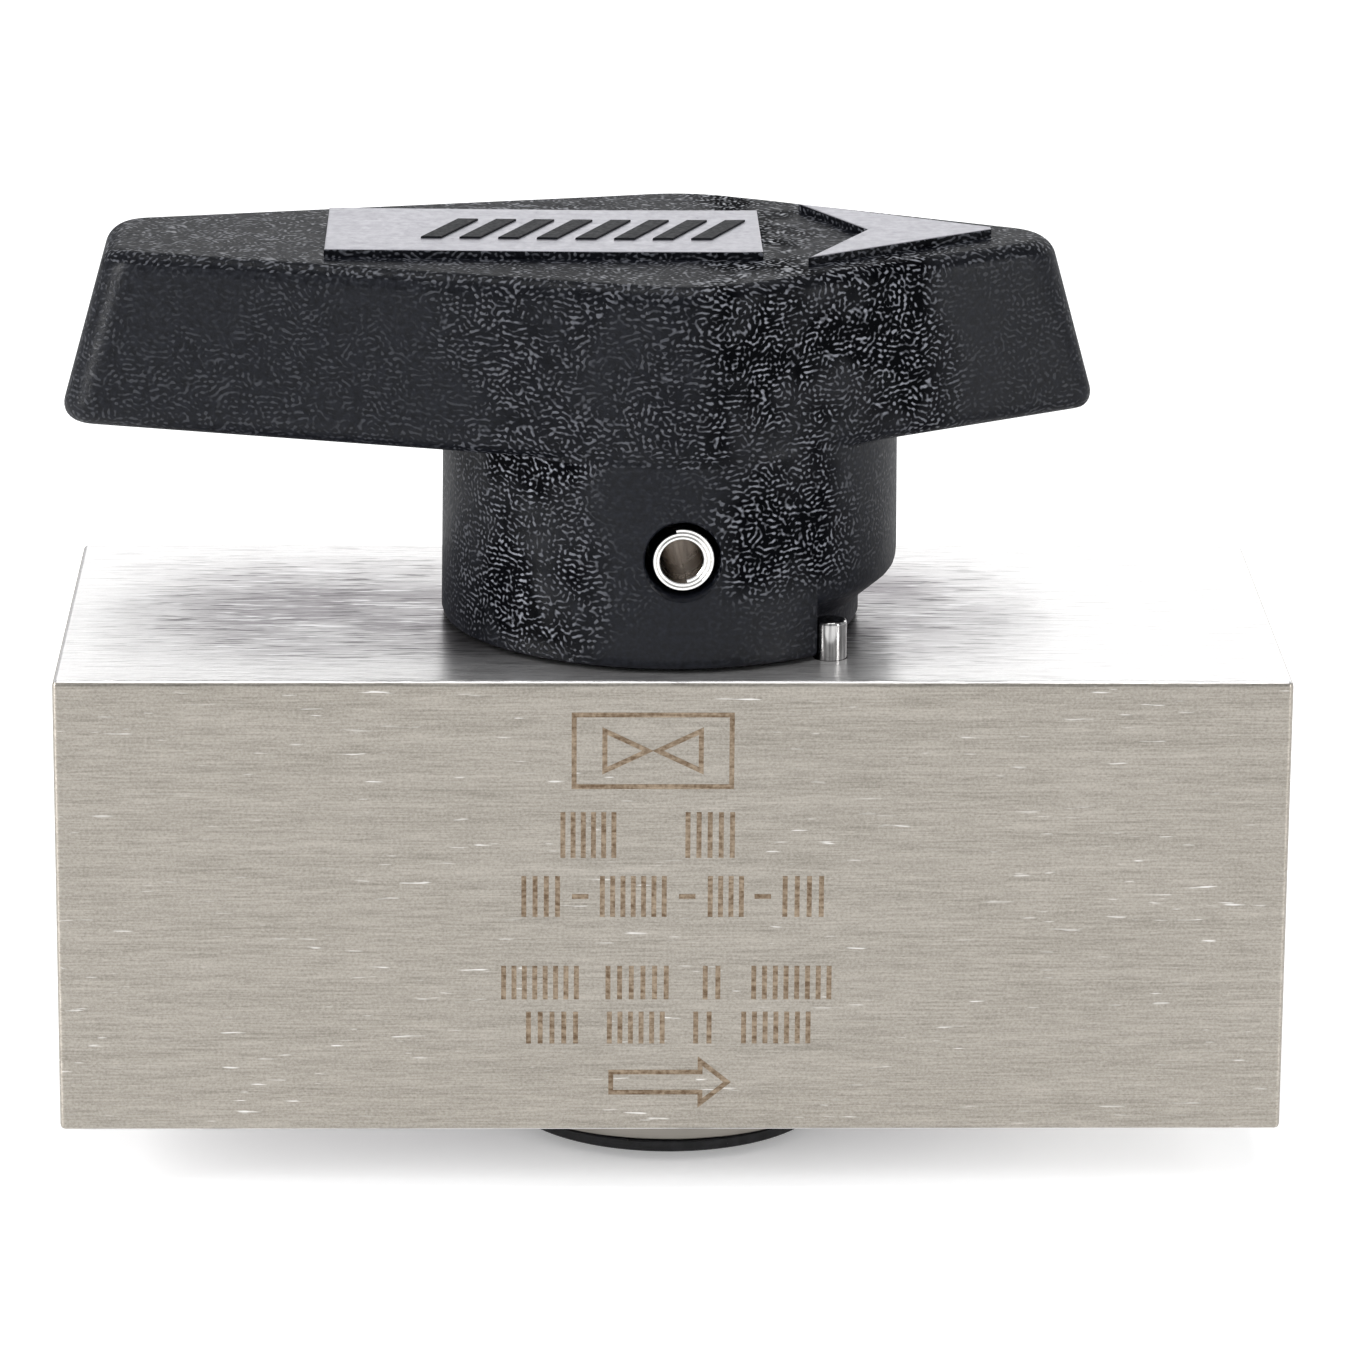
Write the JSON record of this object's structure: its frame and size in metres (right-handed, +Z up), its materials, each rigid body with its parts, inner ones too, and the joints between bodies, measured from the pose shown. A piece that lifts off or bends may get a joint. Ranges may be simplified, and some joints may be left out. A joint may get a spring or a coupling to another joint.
{
  "type": "quarter-turn plug valve",
  "caption": "Bar-stock rotary plug valve with female pipe ports at both ends and a pinned lever handle that opens or shuts the flow in a quarter turn.",
  "frame": {"origin": "under the stem axis, on the plane that the plug's lower end stands on", "axes": "+X along the flow from inlet to outlet, +Y across the body towards its back, +Z up the stem towards the handle"},
  "size_m": [0.0746, 0.0318, 0.0565],
  "materials": {
    "brushed_stainless": "lengthwise brushed, satin",
    "turned_stainless": "fine turned",
    "bright_steel": "polished",
    "black_oxide": "oiled black oxide, satin",
    "black_nylon": "moulded with a leather-like grain",
    "foil_silver": "smooth silver foil on the raised marks",
    "ptfe": "smooth",
    "peek": "machined",
    "seal_rubber": "moulded, dull"
  },
  "bodies": {
    "body_assembly": {"valve_body": "brushed_stainless", "stop_pin": "bright_steel", "wave_spring_washer": "turned_stainless", "lower_journal_bushing": "peek", "lower_backup_ring": "ptfe", "lower_stem_o_ring": "seal_rubber", "plug_thrust_washer": "peek", "upper_stem_bushing": "peek", "stem_dust_seal": "seal_rubber"},
    "rotor": {"rotary_plug": "turned_stainless", "handle": "black_nylon", "handle_pin": "bright_steel", "retaining_ring": "black_oxide", "bottom_thrust_washer": "turned_stainless", "outlet_port_seal": "ptfe", "inlet_port_seal": "ptfe", "outlet_seal_energizer": "seal_rubber", "inlet_seal_energizer": "seal_rubber", "upper_stem_o_ring": "seal_rubber", "upper_backup_ring": "ptfe"}
  },
  "joints": [
    {"name": "handle_turn", "type": "hinge", "parent": "body_assembly", "child": "rotor", "pos_m": [0, 0, 0.0181], "axis": [0, 0, 1], "range_deg": [-90, 0]}
  ]
}
